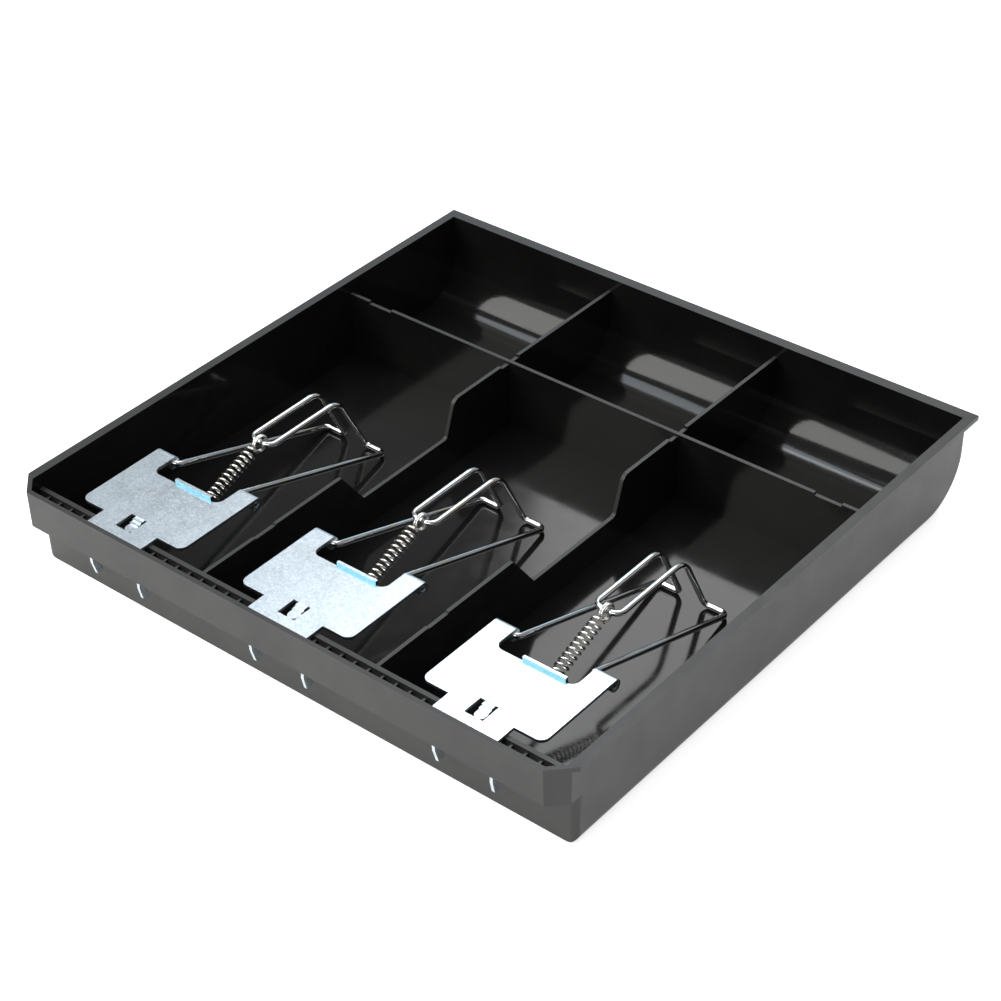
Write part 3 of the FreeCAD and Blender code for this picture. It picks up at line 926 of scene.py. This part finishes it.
@dataclass
class ExtensionSpring:
    """A clip's extension spring, from the lug's hole to the front bar of the bail's handle."""

    side: Side
    finish: bpy.types.Material
    wire_radius: float = 0.41 * MM
    coil_round: float = 2.26 * MM
    pitch: float = 2.25 * MM
    turns: float = 14.0
    lug_place: Span = (-79.0 * MM, 16.5 * MM)
    bar_place: Span = (-42.5 * MM, 29.4 * MM)
    lug_loop: float = 2.3 * MM
    lug_slack: float = 0.3 * MM
    bar_loop_across: float = 2.7 * MM
    bar_loop_along: float = 3.1 * MM
    bar_loop_back: float = 0.5 * MM
    bar_wraps: float = 1.85
    lug_wraps: float = 0.86
    wrap_step: float = 2.15
    link_weight: float = 1.3
    hook_steps: int = 40
    coil_steps: int = 26

    def ring(
        self, middle: float, across: float, along: float, wraps: float, facing: int
    ) -> np.ndarray:
        """A hook: a flat oval spiral round the X axis, whose wraps lie side by side.

        At angle w, from the side that faces the coil, its point is x = a little over the wire's
        thickness times w over a turn, y = minus facing times across times sine w, z = middle -
        facing times along times cosine w. A hook of less than one turn stays flat, at x = 0.

        Args:
            middle: The oval's middle, along the spring.
            across: Half its width.
            along: Half its length.
            wraps: How many turns it makes.
            facing: 1 at the upper end of the spring and -1 at its lower end.

        Returns:
            The hook's points, from the coil outwards.
        """
        angle = np.linspace(0, 2 * math.pi * wraps, int(self.hook_steps * wraps))
        drift = self.wrap_step * self.wire_radius * (angle / (2 * math.pi) - (wraps - 1) / 2)
        drift = drift if wraps > 1 else np.zeros_like(angle)
        sideways = -facing * across * np.sin(angle)
        return np.stack((drift, sideways, middle - facing * along * np.cos(angle)), axis=1)

    @staticmethod
    def link(
        start: np.ndarray, start_way: np.ndarray, end: np.ndarray, end_way: np.ndarray
    ) -> np.ndarray:
        """A cubic that leaves one point and reaches another along given ways.

        With s from 0 to 1 it is start times (2s^3 - 3s^2 + 1), plus start_way times
        (s^3 - 2s^2 + s), plus end times (3s^2 - 2s^3), plus end_way times (s^3 - s^2).

        Args:
            start: The first point.
            start_way: The heading there, with its weight as its length.
            end: The last point.
            end_way: The heading there.

        Returns:
            The points strictly between the two ends.
        """
        points = 16
        s = np.linspace(0, 1, points + 2)[1:-1, None]
        return (
            start * (2 * s**3 - 3 * s**2 + 1)
            + start_way * (s**3 - 2 * s**2 + s)
            + end * (3 * s**2 - 2 * s**3)
            + end_way * (s**3 - s**2)
        )

    def line(self) -> np.ndarray:
        """The whole wire's middle line: hook, link, helix, link, hook, in the row frame at x = 0.

        The helix is x = radius times cosine w, y = radius times sine w, and z rises by the pitch in
        each turn. The spring's own Z axis runs from the lug to the bar.

        Returns:
            One point a row.
        """
        lug, bar = np.array((0.0, *self.lug_place)), np.array((0.0, *self.bar_place))
        up = unit(bar - lug)
        span = float(np.linalg.norm(bar - lug)) + self.lug_slack
        tall = self.pitch * self.turns
        bar_middle = span - self.bar_loop_back
        low = (self.lug_loop + bar_middle - self.bar_loop_along - tall) / 2
        angle = np.linspace(0, 2 * math.pi * self.turns, int(self.coil_steps * self.turns))
        helix = np.stack(
            (
                self.coil_round * np.cos(angle),
                self.coil_round * np.sin(angle),
                low + self.pitch * angle / (2 * math.pi),
            ),
            axis=1,
        )
        lower = self.ring(0.0, self.lug_loop, self.lug_loop, self.lug_wraps, -1)[::-1]
        upper = self.ring(bar_middle, self.bar_loop_across, self.bar_loop_along, self.bar_wraps, 1)
        weight = self.link_weight * self.coil_round
        ways = [unit(part) * weight for part in (lower[-1] - lower[-2], helix[1] - helix[0])]
        lower_link = self.link(lower[-1], ways[0], helix[0], ways[1])
        ways = [unit(part) * weight for part in (helix[-1] - helix[-2], upper[1] - upper[0])]
        upper_link = self.link(helix[-1], ways[0], upper[0], ways[1])
        own = np.vstack((lower, lower_link, helix, upper_link, upper))
        across = np.array((1.0, 0.0, 0.0))
        axes = np.stack((across, np.cross(up, across), up))
        return lug - up * self.lug_slack + own @ axes

    def build(self) -> bpy.types.Object:
        """Makes the spring's piece.

        Returns:
            The spring's object.
        """
        name = self.side.value
        line = self.line()
        line[:, 0] += joint(f"{name}_bail_lift")["pos_m"][0]
        piece = wire(f"{name}_extension_spring", line, self.wire_radius, sides=14)
        piece.data.materials.append(self.finish)
        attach(piece, f"{name}_spring")
        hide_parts(f"{name}_clip_spring")
        return piece


# ---------------------------------------------------------------------------------------------
# The studio
# ---------------------------------------------------------------------------------------------


@dataclass(frozen=True)
class Softbox:
    """A rectangular soft light that faces the object's middle."""

    name: str
    place: Point
    size: Span
    brightness: float
    colour: Colour = (1.0, 1.0, 1.0)

    def build(self) -> None:
        """Hangs the light; its power is pi times its area times its brightness."""
        light = bpy.data.lights.new(self.name, "AREA")
        light.shape = "RECTANGLE"
        light.size, light.size_y = self.size
        light.energy = math.pi * self.size[0] * self.size[1] * self.brightness
        light.color = self.colour
        item = new_piece(self.name, light)
        item.location = self.place
        item.rotation_euler = (-Vector(self.place)).to_track_quat("-Z", "Y").to_euler()


@dataclass(frozen=True)
class Studio:
    """A pale floor, soft light from all round and the camera."""

    camera_place: Point = (0.4497, -0.5259, 0.5273)
    azimuth: float = math.radians(40.57)
    elevation: float = math.radians(36.63)
    roll: float = math.radians(-1.91)
    lens: float = 86.41
    sensor: float = 36.0
    floor_half: float = 4.0
    floor_drop: float = 0.15 * MM
    surround: float = 0.28
    glow: float = 0.72
    lights: tuple[Softbox, ...] = (
        Softbox("top_box", (0.1, 0.05, 1.3), (0.9, 0.9), 1.6),
        Softbox("rear_box", (-0.33, 0.93, 1.12), (0.85, 0.7), 3.2),
        Softbox("left_box", (-0.64, 0.54, 1.22), (0.72, 0.42), 3.4, (0.84, 0.92, 1.0)),
        Softbox("left_front_box", (-0.78, -0.62, 1.00), (1.1, 0.85), 4.2, (1.0, 0.99, 0.95)),
        Softbox("front_box", (0.1, -1.5, 0.55), (1.4, 0.6), 2.2),
        Softbox("low_rear_box", (-0.95, 1.25, 0.38), (1.0, 0.4), 1.3, (0.5, 0.8, 1.0)),
    )

    def build_camera(self) -> None:
        """Sets the camera from its azimuth, elevation and roll about its own axis."""
        away = Vector(
            (
                math.sin(self.azimuth) * math.cos(self.elevation),
                -math.cos(self.azimuth) * math.cos(self.elevation),
                math.sin(self.elevation),
            )
        )
        right = Vector((0, 0, 1)).cross(away).normalized()
        up = away.cross(right)
        turn = Matrix.Rotation(self.roll, 3, "Z")
        axes = Matrix((right, up, away)).transposed() @ turn
        camera = bpy.data.cameras.new("camera")
        camera.lens = self.lens
        camera.sensor_width = self.sensor
        item = new_piece("camera", camera)
        item.matrix_world = Matrix.Translation(self.camera_place) @ axes.to_4x4()
        bpy.context.scene.camera = item

    def build_floor(self) -> None:
        """Lays the floor just under the tray, as one square face of matt white."""
        half, level = self.floor_half, -self.floor_drop
        mesh = bpy.data.meshes.new("floor")
        signs = ((-1, -1), (1, -1), (1, 1), (-1, 1))
        mesh.from_pydata([(half * x, half * y, level) for x, y in signs], [], [(0, 1, 2, 3)])
        recipe = Recipe("matt_white")
        paper = recipe.ramp(recipe.noise(40 * MM, 2.0), CLOUD_SPAN)
        recipe.feed("Base Color", recipe.blend(paper, (0.86, 0.86, 0.86), (0.88, 0.88, 0.88)))
        recipe.set(Roughness=0.9, Emission_Color=(1.0, 1.0, 1.0), Emission_Strength=self.glow)
        mesh.materials.append(recipe.material)
        new_piece("floor", mesh)

    def build_surround(self) -> None:
        """Lights the scene evenly from the whole sky, and keeps the colours as they are lit."""
        world = bpy.data.worlds.new("surround")
        world.use_nodes = True
        sky = world.node_tree.nodes["Background"]
        sky.inputs["Color"].default_value = (1.0, 1.0, 1.0, 1.0)
        sky.inputs["Strength"].default_value = self.surround
        bpy.context.scene.world = world
        bpy.context.scene.view_settings.view_transform = "Standard"

    def build(self) -> None:
        """Builds the camera, the floor, the surround and the lights."""
        self.build_camera()
        self.build_floor()
        self.build_surround()
        for light in self.lights:
            light.build()


def main() -> None:
    """Builds every piece and the studio."""
    logging.basicConfig(level=logging.INFO, format="%(name)s: %(message)s")
    # The second plate material is a painted light-blue reflection for the bent strips.
    zinc, bend = ZINC_FACE.material(), ZINC_BEND_PAINTED_REFLECTION.material()
    nickel, steel = BAIL_NICKEL.material(), SPRING_STEEL.material()
    pieces = [Tray().build()]
    for side in Side:
        pieces.append(ClipPlate(side, zinc, bend).build())
        pieces.append(Bail(side, nickel).build())
        pieces.append(ExtensionSpring(side, steel).build())
    for piece in pieces:
        log.info("%s: %d faces before its modifiers", piece.name, len(piece.data.polygons))
    Studio().build()
    bpy.context.view_layer.update()


if __name__ == "__main__":
    main()
